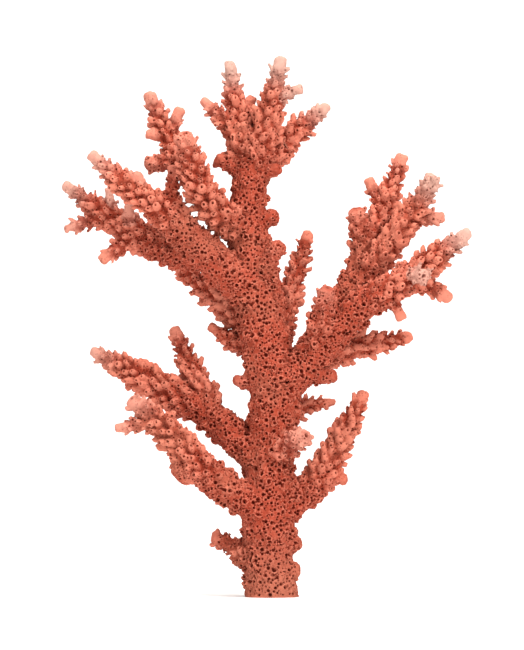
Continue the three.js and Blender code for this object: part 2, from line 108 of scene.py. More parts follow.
LIMBS: dict[str, Limb] = {
    "stem": Limb(
        "top_stem",
        (
            (0.4, 0, -4, 8.2),
            (-0.1, 0, 3, 7.9),
            (-0.7, 0.3, 11, 7.3),
            (-0.9, 0.3, 23, 8),
            (-0.4, 0, 36, 7.4),
            (0.6, 0, 48, 6.9),
            (0.7, 0, 62, 7.4),
            (-1.6, 0, 75, 7.1),
            (-2.8, 0, 86, 7),
            (-4.6, 0, 97, 7),
            (-6.4, 1, 108, 6.1),
            (-6.9, 1.5, 117, 5.4),
            (-6.2, 2, 125, 5.2),
            (-6.2, 2, 132, 4.4),
        ),
        stub="trunk",
        parts_at=111.4,
        age=1.0,
        pale=0.0,
    ),
    "foot_twig": Limb("trunk", ((-3, 0, 9.5, 3.6), (-11.7, 2, 15, 2.7), (-18, 3, 18, 1.9)), age=0.25, pale=0.1),
    "foot_knob_upper": Limb("trunk", ((3.5, -1, 15, 2.7), (9, -2, 16.4, 2.2)), age=0.8, pale=0.1),
    "foot_knob_lower": Limb("trunk", ((3, -1, 7.6, 3), (8.6, -2.5, 8.2, 2.4)), age=0.8, pale=0.1),
    "front_twig": Limb("trunk", ((1, -3, 43, 4), (6.2, -9, 46.4, 3.2), (10.4, -14, 48.6, 2.4)), age=0.2, pale=0.45),
    "dark_twig": Limb("trunk", ((4, 4, 54.5, 3), (12.3, 8.5, 57.6, 2), (19.2, 11, 58.2, 0.9)), pale=0.0),
    "left_knob": Limb("trunk", ((-4, -1, 63.5, 2), (-11.2, -2, 65.4, 1.6)), age=0.7, pale=0.25),
    "left_twig": Limb("trunk", ((-4, 2, 73, 3), (-12, 4, 77.2, 2.2), (-18.6, 5, 81.3, 1.5)), age=0.3, pale=0.1),
    "front_knob": Limb("trunk", ((-4, -3, 95, 3.4), (0, -7, 101.6, 2.5), (3, -9, 106.2, 2.1)), age=0.7, pale=0.2),
    "rear_foot_twig": Limb("trunk", ((-1, 4, 22, 3.2), (-2.5, 11, 27.5, 2.4), (-4, 16, 33, 1.6)), age=0.2),
    "rear_middle_twig": Limb("trunk", ((0.5, 3, 46, 3.2), (0, 11, 52, 2.5), (-1, 17, 60, 1.6)), age=0.2),
    "lower_left": Limb(
        "lower_left_branch",
        (
            (-1.5, -1.5, 25.6, 5),
            (-12.3, -5, 32, 4.6),
            (-22.6, -8, 40.6, 4.2),
            (-32.2, -11, 51.3, 3.4),
            (-41.8, -14, 59.6, 1.9),
        ),
        stub="trunk",
        parts_at=16,
        pale=0.5,
    ),
    "lower_left_lump": Limb("lower_left_branch", ((-22.5, -8, 41, 3.8), (-27.8, -9, 35.6, 3.6)), age=0.3, pale=0.1),
    "lower_left_twig": Limb(
        "lower_left_branch", ((-34, -12, 53.5, 2.3), (-40.6, -13, 51.8, 1.9), (-46.6, -13.5, 50.4, 1.5)), pale=0.45
    ),
    "middle_left": Limb(
        "middle_left_branch",
        (
            (-1, 0, 37.6, 5),
            (-12.2, 3, 49, 4.9),
            (-22, 5, 56.8, 4.7),
            (-33.6, 6, 63, 3.9),
            (-45.4, 6, 69.4, 2.8),
            (-54.2, 6, 74, 1.6),
        ),
        stub="trunk",
        parts_at=16.5,
        pale=0.6,
    ),
    "middle_left_rise": Limb(
        "middle_left_twig",
        ((-17.5, 5, 55.6, 3.6), (-23.9, 8.5, 68.2, 2.9), (-29.2, 12, 80.8, 1.8)),
        stub="middle_left_branch",
        parts_at=12.5,
        pale=0.3,
    ),
    "lower_right": Limb(
        "lower_right_branch",
        ((0.5, 0, 24.6, 4.9), (10.6, 0, 31.2, 4.2), (19, 2, 43.2, 3.5), (24, 4, 52.8, 2.8), (28.2, 5, 61.5, 1.5)),
        stub="trunk",
        parts_at=14.5,
        pale=0.15,
    ),
    "lower_right_knob": Limb("lower_right_branch", ((16.5, 1.5, 37, 2.4), (22.8, 1, 34.9, 1.7)), age=0.3, pale=0.1),
    "right_main": Limb(
        "right_limb",
        (
            (0.8, 0, 59.4, 6.3),
            (9.4, -1.5, 69.2, 5.4),
            (16.8, -3, 77.4, 5.2),
            (26.5, -6, 86.6, 4.5),
            (38.9, -9, 94.4, 4),
            (49.6, -11, 101.9, 3.1),
            (59.4, -12, 109.4, 1.8),
        ),
        stub="trunk",
        parts_at=15.5,
        pale=0.95,
    ),
    "right_front_twig": Limb("right_limb", ((14.4, -4, 75, 3.8), (15.2, -9, 84, 3.2), (17, -13, 92.8, 2.3)), age=0.5),
    "right_knob": Limb(
        "right_limb", ((8, -2, 66.6, 3.5), (14, -4, 66.4, 2.6), (19.5, -5, 66.4, 1.8)), age=0.7, pale=0.2
    ),
    "right_facing_knob": Limb("right_limb", ((41.5, -9.5, 96.4, 2.4), (45.4, -17, 96.2, 2)), pale=0.7),
    "right_hanging_twig": Limb("right_limb", ((34, -8, 91.5, 2.2), (39.4, -9.5, 83.2, 1.6)), pale=0.2),
    "right_side_twig": Limb(
        "right_limb", ((41, -9.5, 95.5, 2.8), (48.6, -7, 92.4, 2.1), (53.8, -6, 89.3, 1.5)), pale=0.3
    ),
    "right_low": Limb(
        "right_low_branch",
        ((11.5, -1, 72, 4.1), (22.5, 6, 74.6, 3.5), (33.3, 12, 76.4, 2.7), (42.6, 16, 77.8, 1.5)),
        stub="right_limb",
        parts_at=12.5,
        pale=0.15,
    ),
    "right_upper": Limb(
        "right_upper_branch",
        (
            (15, -2, 75.5, 4.7),
            (24.2, 3, 93, 4),
            (29, 5, 103.5, 3.8),
            (32.6, 7, 112, 3.3),
            (35.9, 9, 121.5, 2.6),
            (39.7, 11, 133, 1.8),
        ),
        stub="right_limb",
        parts_at=18,
        pale=0.35,
    ),
    "right_upper_lump": Limb("right_upper_branch", ((28, 5, 103, 3.1), (25.5, 2, 116.6, 2.5)), age=0.3, pale=0.25),
    "right_upper_side": Limb("right_upper_branch", ((34, 8, 115.5, 2), (29.2, 9, 125.6, 1.5)), pale=0.25),
    "right_upper_fork": Limb(
        "right_upper_twig",
        ((23.5, 3, 89, 3.6), (34.6, 0, 103.8, 3.8), (42.2, -0.5, 115.2, 3.1), (49.2, -1, 126.4, 2.2)),
        stub="right_upper_branch",
        parts_at=20,
        pale=0.85,
    ),
    "right_upper_spur": Limb("right_upper_twig", ((42, 0, 113.4, 2.2), (51.8, 2, 114, 1.5)), pale=0.4),
    "back_right": Limb(
        "back_branch",
        ((-0.5, 2, 68, 4.4), (4.4, 11, 86, 3), (8.8, 16, 101, 2.4), (11.5, 19, 109.9, 1.6)),
        stub="trunk",
        parts_at=17,
        pale=0.1,
    ),
    "back_left": Limb(
        "back_left_branch",
        ((-2.5, 2, 77.6, 4.2), (-13, 9, 87.4, 3.6), (-22.2, 14, 94.8, 2.8), (-29.4, 18, 100, 1.6)),
        stub="trunk",
        parts_at=16.5,
        pale=0.1,
    ),
    "crown_upper": Limb(
        "left_crown_upper",
        (
            (-3, -0.5, 89, 6.2),
            (-14, -4, 98.2, 5.6),
            (-23.4, -6, 107, 4.8),
            (-33, -7.5, 116, 3.7),
            (-44.5, -8.5, 124.2, 2.8),
            (-54, -9, 132.8, 1.6),
        ),
        stub="trunk",
        parts_at=18.5,
        pale=0.65,
    ),
    "crown_upper_rise": Limb(
        "left_crown_upper",
        ((-28.5, -7, 112.5, 2.4), (-29.5, -7, 121, 2), (-29.4, -6.5, 129.2, 1.6)),
        age=0.4,
        pale=0.25,
    ),
    "crown_upper_knob": Limb("left_crown_upper", ((-38.5, -8, 120.5, 2), (-40.4, -9, 127.4, 1.7)), pale=0.4),
    "crown_lower": Limb(
        "left_crown_lower",
        (
            (-19.5, -5.5, 102.5, 4.6),
            (-30, 1, 103.4, 4.1),
            (-40, 4, 108.7, 3.6),
            (-51.4, 5.5, 116.4, 2.7),
            (-62.6, 6, 124, 1.6),
        ),
        stub="left_crown_upper",
        parts_at=13.5,
        pale=0.75,
    ),
    "crown_lower_side": Limb(
        "left_crown_lower", ((-47, 5, 113.6, 2.4), (-55, 3, 112.4, 1.9), (-62.2, 1.5, 110.4, 1.4)), pale=0.5
    ),
    "crown_lower_hang": Limb(
        "left_crown_lower", ((-39, 4, 108.4, 2.9), (-45.5, 2, 104.8, 2.3), (-51.2, 0.5, 100.6, 1.6))
    ),
    "crown_lower_post": Limb("left_crown_lower", ((-42, 4, 109.5, 2.2), (-42.6, 0, 118, 1.6)), pale=0.5),
    "crown_lower_knob": Limb("left_crown_lower", ((-47.5, 5, 115, 1.7), (-49.2, 4, 123, 1.2)), pale=0.7),
    "upper_left": Limb(
        "left_upper_branch",
        (
            (-6.4, 0.5, 107.6, 4.8),
            (-13.6, -3.5, 113.2, 4.3),
            (-20.3, -9, 121, 3.8),
            (-24.3, -13.4, 132, 3.1),
            (-25.6, -15.4, 138.8, 2.2),
        ),
        stub="top_stem",
        parts_at=12,
        pale=0.3,
    ),
    "upper_left_fork": Limb(
        "left_upper_twig",
        ((-17.5, -6, 118.5, 3.5), (-26, 1, 129, 3.2), (-31.8, 4, 140, 2.7), (-37.1, 6, 151.6, 1.7)),
        stub="left_upper_branch",
        parts_at=10,
        pale=0.45,
    ),
    "upper_left_spur": Limb("left_upper_twig", ((-30.6, 3.5, 138.5, 2), (-27.2, 5, 146.6, 1.6)), pale=0.35),
    "upper_left_stub": Limb("left_upper_twig", ((-31, 3.5, 137.6, 1.7), (-37.6, 2, 138.8, 1.4)), pale=0.3),
    "upper_left_side": Limb("left_upper_twig", ((-27.5, 2, 131.4, 2.4), (-37.8, 1, 129.8, 2)), age=0.2, pale=0.3),
    "top_left": Limb(
        "top_stem",
        ((-6.8, 2, 128, 4.2), (-9.6, 3.5, 141.4, 3.3), (-11.2, 4.5, 150.6, 2.5), (-12.5, 5, 161, 1.6)),
        pale=1.0,
    ),
    "top_left_side": Limb("top_stem", ((-8.5, 3, 137, 3), (-14.6, 2, 143.8, 2.4), (-20.8, 1, 149.2, 1.4)), pale=0.4),
    "top_left_knob": Limb("top_stem", ((-9, 3.5, 143, 2.1), (-5.2, 5, 150.4, 1.6)), age=0.2, pale=0.25),
    "top_middle": Limb(
        "top_stem",
        ((-5.5, 1.5, 128, 4.2), (-0.7, -0.5, 144.6, 3.5), (1.2, -1.5, 152.7, 2.6), (3.1, -2, 162, 1.7)),
        pale=1.0,
    ),
    "top_middle_knob": Limb("top_stem", ((1, -1.5, 149, 1.9), (9.3, -3.5, 152.7, 1.4)), age=0.2, pale=0.8),
    "top_stem_right_knob": Limb("top_stem", ((-4, 1, 126.5, 2.2), (2.6, -2.5, 128.6, 1.8)), age=0.6, pale=0.1),
    "top_stem_left_knob": Limb("top_stem", ((-8, 2, 127.6, 2.4), (-16.5, 1, 131.8, 1.9)), age=0.6, pale=0.1),
    "top_stem_low_knob": Limb("top_stem", ((-5, 1, 111.5, 3), (1.6, -1, 114.8, 2.3)), age=0.7, pale=0.1),
    "rear_top_twig": Limb("top_stem", ((-6.5, 3, 117, 2.8), (-7, 10, 123, 2.2), (-7.5, 14, 130, 1.5)), age=0.1),
    "top_right": Limb(
        "top_right_branch",
        ((-5.5, 3, 126.5, 4.2), (2.8, 6.5, 135.2, 3.5), (9.7, 8.5, 141.3, 2.8), (17.4, 10, 148, 1.5)),
        stub="top_stem",
        parts_at=13,
        pale=0.85,
    ),
}


def unit(vectors: np.ndarray) -> np.ndarray:
    """Gives vectors, row by row, at length one."""
    return vectors / np.maximum(np.linalg.norm(vectors, axis=-1, keepdims=True), 1e-9)


def ease(values: np.ndarray, low: float, high: float) -> np.ndarray:
    """Runs smoothly from 0 at low to 1 at high."""
    t = np.clip((values - low) / (high - low), 0.0, 1.0)
    return t * t * (3.0 - 2.0 * t)


class Spine:
    """A limb's centre line: a smooth curve through its knots, read by distance along it."""

    def __init__(self, knots: tuple[Knot, ...], samples: int = 48) -> None:
        """Samples the curve.

        Args:
            knots: Points (x, y, z, radius).
            samples: How many samples each span between two knots gets.
        """
        points = np.array(knots, float)
        xyz = np.vstack([2 * points[0] - points[1], points, 2 * points[-1] - points[-2]])[:, :3]
        gaps = np.sqrt(np.linalg.norm(np.diff(xyz, axis=0), axis=1))
        t = np.linspace(0.0, 1.0, samples, endpoint=False)[:, None]
        places, radii = [], []
        for i in range(1, len(points)):
            before, here, there, after = xyz[i - 1 : i + 3]
            a, b, c = gaps[i - 1 : i + 2]
            leave = ((here - before) / a - (there - before) / (a + b) + (there - here) / b) * b
            arrive = ((there - here) / b - (after - here) / (b + c) + (after - there) / c) * b
            square = -3 * here + 3 * there - 2 * leave - arrive
            cube = 2 * here - 2 * there + leave + arrive
            places.append(here + leave * t + square * t**2 + cube * t**3)
            radii.append(points[i - 1, 3] + (points[i, 3] - points[i - 1, 3]) * t[:, 0])
        self.places = np.vstack(places + [points[-1:, :3]])
        self.radii = np.append(np.concatenate(radii), points[-1, 3])
        steps = np.linalg.norm(np.diff(self.places, axis=0), axis=1)
        self.distances = np.append(0.0, np.cumsum(steps))
        self.length = float(self.distances[-1])
        self.headings = unit(np.gradient(self.places, self.distances, axis=0))

    def at(self, distances: np.ndarray) -> tuple[np.ndarray, np.ndarray, np.ndarray]:
        """Reads the curve.

        Args:
            distances: Distances along it.

        Returns:
            The points, the headings and the radii there.
        """
        place = np.stack([np.interp(distances, self.distances, self.places[:, k]) for k in range(3)], axis=1)
        heading = np.stack([np.interp(distances, self.distances, self.headings[:, k]) for k in range(3)], axis=1)
        return place, unit(heading), np.interp(distances, self.distances, self.radii)


@dataclass
class Mould:
    """A small shape that is modelled once and then cast many times."""

    corners: np.ndarray
    loops: np.ndarray
    sizes: np.ndarray

    @classmethod
    def taken_from(cls, model: bpy.types.Object) -> "Mould":
        """Reads a mould off a model and takes the model away."""
        mesh = model.data
        corners = read_corners(model)
        loops = np.empty(len(mesh.loops), np.int32)
        mesh.loops.foreach_get("vertex_index", loops)
        sizes = np.empty(len(mesh.polygons), np.int32)
        mesh.polygons.foreach_get("loop_total", sizes)
        bpy.data.objects.remove(model)
        return cls(corners, loops, sizes)

    def cast(self, name: str, origins: np.ndarray, frames: np.ndarray, scales: np.ndarray) -> bpy.types.Object:
        """Makes one mesh of many copies.

        Args:
            name: The mesh's name.
            origins: Where each copy's origin goes.
            frames: Each copy's axes, as the columns of a 3 by 3 matrix.
            scales: Each copy's scale along its own three axes.

        Returns:
            The object that holds them all.
        """
        count = len(origins)
        stretched = self.corners[None] * scales[:, None]
        corners = np.einsum("nij,nkj->nki", frames, stretched) + origins[:, None]
        offsets = np.arange(count)[:, None] * len(self.corners)
        loops = (self.loops[None] + offsets).ravel()
        sizes = np.tile(self.sizes, count)
        mesh = bpy.data.meshes.new(name)
        mesh.vertices.add(count * len(self.corners))
        mesh.vertices.foreach_set("co", corners.ravel())
        mesh.loops.add(len(loops))
        mesh.loops.foreach_set("vertex_index", loops.astype(np.int32))
        mesh.polygons.add(len(sizes))
        mesh.polygons.foreach_set("loop_start", np.append(0, np.cumsum(sizes)[:-1]).astype(np.int32))
        mesh.update(calc_edges=True)
        copies = bpy.data.objects.new(name, mesh)
        bpy.context.collection.objects.link(copies)
        return copies


def read_corners(model: bpy.types.Object) -> np.ndarray:
    """Reads where a mesh's corners are, one row a corner."""
    corners = np.empty(len(model.data.vertices) * 3)
    model.data.vertices.foreach_get("co", corners)
    return corners.reshape(-1, 3)


def count_triangles(model: bpy.types.Object) -> int:
    """Counts a mesh's triangles."""
    return len(model.data.loops) - 2 * len(model.data.polygons)


def pick(*models: bpy.types.Object) -> None:
    """Selects these objects and nothing else, the first one active."""
    bpy.ops.object.select_all(action="DESELECT")
    for model in models:
        model.select_set(True)
    bpy.context.view_layer.objects.active = models[0]


def finish_with(model: bpy.types.Object, kind: str, **settings: Any) -> None:
    """Adds a modifier and applies it.

    Args:
        model: The object.
        kind: The modifier's type.
        **settings: The modifier's settings.
    """
    pick(model)
    modifier = model.modifiers.new(kind.lower(), kind)
    for key, value in settings.items():
        setattr(modifier, key, value)
    bpy.ops.object.modifier_apply(modifier=modifier.name)


def select_top(model: bpy.types.Object) -> None:
    """In edit mode, selects the highest flat face of a model, and nothing else."""
    bpy.ops.mesh.select_mode(type="FACE")
    bpy.ops.mesh.select_all(action="DESELECT")
    bpy.ops.object.mode_set(mode="OBJECT")
    faces = model.data.polygons
    highest = max(range(len(faces)), key=lambda i: faces[i].center.z)
    faces[highest].select = True
    bpy.ops.object.mode_set(mode="EDIT")


def turn_up(name: str, sides: int, rings: list[tuple[float, float]], tilt: float = 0.0) -> bpy.types.Object:
    """Draws a round shape up ring by ring from a flat disc.

    Args:
        name: The object's name.
        sides: How many sides it has.
        rings: Its height and radius at each ring, lowest first.
        tilt: How far its last ring leans, in radians: a lean raises its +X side.

    Returns:
        The object.
    """
    bpy.ops.object.select_all(action="DESELECT")
    height, radius = rings[0]
    bpy.ops.mesh.primitive_circle_add(vertices=sides, radius=radius, fill_type="NGON", location=(0, 0, height))
    model = bpy.context.object
    model.name = name
    bpy.ops.object.transform_apply(location=True, rotation=True, scale=True)
    bpy.ops.object.mode_set(mode="EDIT")
    bpy.ops.mesh.select_all(action="SELECT")
    for above, wider in rings[1:]:
        rise = (0, 0, above - height)
        bpy.ops.mesh.extrude_region_move(TRANSFORM_OT_translate={"value": rise})
        share = wider / radius
        bpy.ops.transform.resize(value=(share, share, 1), center_override=(0, 0, above))
        height, radius = above, wider
    bpy.ops.mesh.select_all(action="SELECT")
    bpy.ops.mesh.normals_make_consistent(inside=False)
    if tilt:
        select_top(model)
        bpy.ops.transform.rotate(value=tilt, orient_axis="Y", center_override=(0, 0, height))
    bpy.ops.object.mode_set(mode="OBJECT")
    return model


@dataclass
class CupMould:
    """A cup of the skeleton: a leaning tube with a slanting lip, and the hollow in its mouth.

    Attributes:
        foot: Its radius where it leaves the limb.
        waist: Its radius half way up.
        mouth: Its radius just under the lip.
        height: How tall it is.
        lip_tilt: How far its lip slants.
        hollow: The radius of the hollow in its mouth.
        root: How deep it reaches into the limb.
        sides: How many sides it has.
    """

    foot: float = 1.38
    waist: float = 1.0
    mouth: float = 0.74
    height: float = 3.2
    lip_tilt: float = math.radians(30)
    hollow: float = 0.44
    root: float = 1.2
    sides: int = 10

    def build(self) -> Mould:
        """Models the cup, its axis along +Z and its long lip towards +X."""
        rings = [
            (-self.root, self.foot),
            (0.2, self.foot),
            (0.55 * self.height, self.waist),
            (0.9 * self.height, self.mouth),
            (self.height, 0.72 * self.mouth),
        ]
        return Mould.taken_from(turn_up("cup", self.sides, rings, -self.lip_tilt))


@dataclass
class Cups:
    """Where the cups sit and how large they are, one row a cup."""

    origins: np.ndarray
    frames: np.ndarray
    scales: np.ndarray
    holes: np.ndarray


@dataclass(frozen=True)
class PitShape:
    """The shape of a pit, its widths as shares of its radius.

    Attributes:
        young_radius: Its radius on young growth.
        old_gain: How much wider it is on old growth.
        floor: How wide its flat floor is.
        wall: Where its wall ends.
        lip_at: Where its raised lip is highest.
        lip_width: How wide that lip is.
        lip_height: How high that lip is, in millimetres.
        depth: How deep it is.
        reach: How far out it changes the skin.
        grip: How far above or below its place the skin may lie, in millimetres.
    """

    young_radius: float = 0.27
    old_gain: float = 0.17
    floor: float = 0.62
    wall: float = 1.05
    lip_at: float = 1.2
    lip_width: float = 0.16
    lip_height: float = 0.1
    depth: float = 1.7
    reach: float = 1.5
    grip: float = 0.9


class CornerGrid:
    """A skin's corners sorted into cubes, so that those near a place are found fast."""

    CUBE = 1.3
    MIDDLE = 500
    SPAN = 1000

    def __init__(self, corners: np.ndarray) -> None:
        """Sorts the corners."""
        codes = self.codes(corners)
        order = np.argsort(codes, kind="stable")
        found, starts = np.unique(codes[order], return_index=True)
        ends = np.append(starts[1:], len(order))
        self.cubes = {int(code): order[i:j] for code, i, j in zip(found, starts, ends)}
        steps = (-1, 0, 1)
        self.around = [(x * self.SPAN + y) * self.SPAN + z for x in steps for y in steps for z in steps]

    def codes(self, places: np.ndarray) -> np.ndarray:
        """Gives the number of the cube that each place is in."""
        keys = np.floor(places / self.CUBE).astype(np.int64) + self.MIDDLE
        return (keys[:, 0] * self.SPAN + keys[:, 1]) * self.SPAN + keys[:, 2]

    def near(self, code: int) -> np.ndarray:
        """Gives the corners in a cube and in those around it."""
        groups = [self.cubes[code + step] for step in self.around if code + step in self.cubes]
        return np.concatenate(groups) if groups else np.empty(0, np.int64)


@dataclass
class Seams:
    """Where a skin is to come apart: which piece each of its faces goes to, with every seam one clean loop.

    Attributes:
        mesh: The skin's mesh.
        owner: The number of the piece that each face goes to, which is changed in place.
        fewest: An island with fewer faces than this is no piece.
        rounds: How often the seams are gone over at most.
    """

    LABELS = 64

    mesh: bpy.types.Mesh
    owner: np.ndarray
    fewest: int = 600
    rounds: int = 60

    def __post_init__(self) -> None:
        """Reads which faces meet at each edge and at each corner."""
        mesh = self.mesh
        self.loop_vertex = np.empty(len(mesh.loops), np.int32)
        mesh.loops.foreach_get("vertex_index", self.loop_vertex)
        loop_edge = np.empty(len(mesh.loops), np.int32)
        mesh.loops.foreach_get("edge_index", loop_edge)
        sizes = np.empty(len(mesh.polygons), np.int32)
        mesh.polygons.foreach_get("loop_total", sizes)
        self.loop_face = np.repeat(np.arange(len(sizes)), sizes)
        order = np.argsort(loop_edge, kind="stable")
        same = np.flatnonzero(loop_edge[order][1:] == loop_edge[order][:-1])
        self.one, self.other = self.loop_face[order[same]], self.loop_face[order[same + 1]]
        ends = np.empty(len(mesh.edges) * 2, np.int32)
        mesh.edges.foreach_get("vertices", ends)
        self.ends = ends.reshape(-1, 2)[loop_edge[order[same]]].astype(np.int64)

    def join_islands(self) -> np.ndarray:
        """Gives each small island of faces to the piece around it, and marks those with nothing around them."""
        label = np.arange(len(self.owner))
        alike = self.owner[self.one] == self.owner[self.other]
        one, other = self.one[alike], self.other[alike]
        while True:
            lower = label.copy()
            np.minimum.at(lower, one, label[other])
            np.minimum.at(lower, other, label[one])
            lower = lower[lower]
            if (lower == label).all():
                break
            label = lower
        count = np.bincount(label, minlength=len(label))
        lone = count[label] < self.fewest
        for near, far in ((self.one, self.other), (self.other, self.one)):
            border = lone[near] & ~lone[far]
            taker = np.full(len(label), -1, np.int32)
            taker[label[near[border]]] = self.owner[far[border]]
            taken = lone & (taker[label] >= 0)
            self.owner[taken] = taker[label[taken]]
            lone &= ~taken
        return lone

    def open_pinches(self) -> int:
        """Gives all faces round a corner that a seam passes twice to one piece, and counts such corners."""
        one, other = self.owner[self.one], self.owner[self.other]
        apart = one != other
        keys = [self.ends[apart, k] * self.LABELS + side[apart] for k in (0, 1) for side in (one, other)]
        found, count = np.unique(np.concatenate(keys), return_counts=True)
        pinched = np.unique(found[count > 2] // self.LABELS)
        if len(pinched):
            flags = np.zeros(len(self.mesh.vertices), bool)
            flags[pinched] = True
            loops = np.flatnonzero(flags[self.loop_vertex])
            corner, face = self.loop_vertex[loops].astype(np.int64), self.loop_face[loops]
            found, count = np.unique(corner * self.LABELS + self.owner[face], return_counts=True)
            order = np.argsort(count, kind="stable")
            chosen = np.zeros(len(flags), np.int32)
            chosen[found[order] // self.LABELS] = found[order] % self.LABELS
            self.owner[face] = chosen[corner]
        return len(pinched)

    def clean(self) -> np.ndarray:
        """Joins islands and opens pinches until every seam is a clean loop.

        Returns:
            A mark on each face that belongs to a loose crumb.
        """
        for _ in range(self.rounds):
            loose = self.join_islands()
            pinched = self.open_pinches()
            if not pinched:
                break
        LOG.info("loose faces %d, pinched corners left %d", loose.sum(), pinched)
        return loose


@dataclass
class Coral:
    """The whole skeleton: limbs with their cups, fused, drilled with pits and sawn into its pieces.

    Attributes:
        cup: The cup that is cast all over it.
        pit: The shape of its pits and mouths.
        cup_area: How much of a limb's side each cup has to itself.
        bare_tip: How long a pointed tip is bare of cups.
        blunt_tip: A tip with a larger radius than this is blunt, and hardly bare at all.
        young_length: How far from its tip a limb is young.
        old_length: How far from its tip a limb is old.
        slimmer: How much slimmer a limb is under tall young cups.
        lean_young: How far a young cup leans towards the tip.
        lean_old: How far an old cup leans towards the tip.
        ring_spacing: How far apart the rings of a limb are.
        tip_rounding: How long a tip's rounding is, as a share of its radius.
        tip_mouth: How wide the end of a tip is, as a share of its radius.
        voxel: The size of the cubes that fuse the skin.
        pit_tries: How many places are tried for pits.
        bare_foot: Up to this height the foot has no cups.
        most_triangles: How many triangles the whole skin may have.
        most_of_piece: How many triangles one piece may have.
    """

    cup: CupMould = field(default_factory=CupMould)
    pit: PitShape = field(default_factory=PitShape)
    cup_area: float = 8.2
    bare_tip: float = 3.0
    blunt_tip: float = 1.9
    young_length: float = 20.0
    old_length: float = 46.0
    slimmer: float = 0.75
    lean_young: float = math.radians(36)
    lean_old: float = math.radians(24)
    ring_spacing: float = 0.8
    tip_rounding: float = 0.55
    tip_mouth: float = 0.66
    voxel: float = 0.25
    pit_tries: int = 150_000
    bare_foot: float = 3.0
    most_triangles: int = 800_000
    most_of_piece: int = 180_000

    def __post_init__(self) -> None:
        """Sets up the spines and the shared dice."""
        self.dice = np.random.default_rng(SEED)
        self.spines = {name: Spine(limb.knots) for name, limb in LIMBS.items()}
        rows = [(i, d) for i, s in enumerate(self.spines.values()) for d in np.arange(0.0, s.length, 1.0)]
        self.sample_limb = np.array([i for i, _ in rows])
        self.sample_distance = np.array([d for _, d in rows])
        places, radii = [], []
        for i, spine in enumerate(self.spines.values()):
            place, _, radius = spine.at(self.sample_distance[self.sample_limb == i])
            places.append(place)
            radii.append(radius)
        self.sample_place = np.vstack(places).astype(np.float32)
        self.sample_radius = np.concatenate(radii).astype(np.float32)
        self.limb_length = np.array([s.length for s in self.spines.values()])
        self.limb_age = np.array([limb.age for limb in LIMBS.values()])
        self.limb_pale = np.array([limb.pale for limb in LIMBS.values()])
        self.limb_blunt = np.array([float(s.radii[-1] > self.blunt_tip) for s in self.spines.values()])

    def nearest(self, points: np.ndarray) -> tuple[np.ndarray, np.ndarray, np.ndarray]:
        """Finds the limb each point belongs to.

        Args:
            points: Points near the skeleton.

        Returns:
            The limb's number, the distance along it, and how far the point stands out of it.
        """
        best = np.empty(len(points), np.int64)
        proud = np.empty(len(points), np.float32)
        samples = self.sample_place
        square = (samples**2).sum(1)
        for start in range(0, len(points), 8192):
            chunk = points[start : start + 8192].astype(np.float32)
            apart = (chunk**2).sum(1)[:, None] + square[None] - 2.0 * chunk @ samples.T
            clear = np.sqrt(np.maximum(apart, 0.0)) - self.sample_radius[None]
            best[start : start + 8192] = clear.argmin(1)
            proud[start : start + 8192] = clear.min(1)
        return self.sample_limb[best], self.sample_distance[best], proud

    def age(self, limb: np.ndarray, distance: np.ndarray) -> np.ndarray:
        """Says how old the skeleton is at a place: 0 young, 1 old."""
        from_tip = self.limb_length[limb] - distance
        grown = ease(from_tip, self.young_length, self.old_length)
        return np.maximum(grown, self.limb_age[limb])

    def core(self, number: int, distances: np.ndarray, radii: np.ndarray) -> np.ndarray:
        """Gives a limb's radius under its cups, which is less where tall young cups stand on it.

        Args:
            number: The limb's number.
            distances: Distances along it.
            radii: Its radii there, cups and all.

        Returns:
            The radii under the cups.
        """
        from_tip = self.limb_length[number] - distances
        young = 1.0 - self.age(np.full(len(distances), number), distances)
        return radii - self.slimmer * young * ease(from_tip, 2.0, 8.0) * np.minimum(1.0, radii / 3.0)

    def raise_limbs(self) -> bpy.types.Object:
        """Draws every limb as a bevelled curve and makes them one mesh."""
        bpy.ops.object.select_all(action="DESELECT")
        bpy.ops.curve.primitive_nurbs_path_add()
        limbs = bpy.context.object
        limbs.name = "limbs"
        curve = limbs.data
        curve.splines.clear()
        curve.dimensions = "3D"
        curve.bevel_depth = 1.0
        curve.bevel_resolution = 4
        curve.use_fill_caps = True
        for number, spine in enumerate(self.spines.values()):
            rounding = self.tip_rounding * spine.radii[-1]
            body = np.linspace(0.0, spine.length - rounding, max(4, int(spine.length / self.ring_spacing)))
            cap = spine.length - rounding * np.array([0.6, 0.25, 0.0])
            distances = np.append(body, cap)
            place, _, radius = spine.at(distances)
            narrowing = np.append(np.zeros(len(body)), [0.12, 0.45, 1.0])
            radius = self.core(number, distances, radius) * (1.0 - (1.0 - self.tip_mouth) * narrowing)
            points = curve.splines.new("POLY").points
            points.add(len(distances) - 1)
            points.foreach_set("co", np.column_stack([place, np.ones(len(place))]).ravel())
            points.foreach_set("radius", radius)
        bpy.ops.object.convert(target="MESH")
        return bpy.context.object

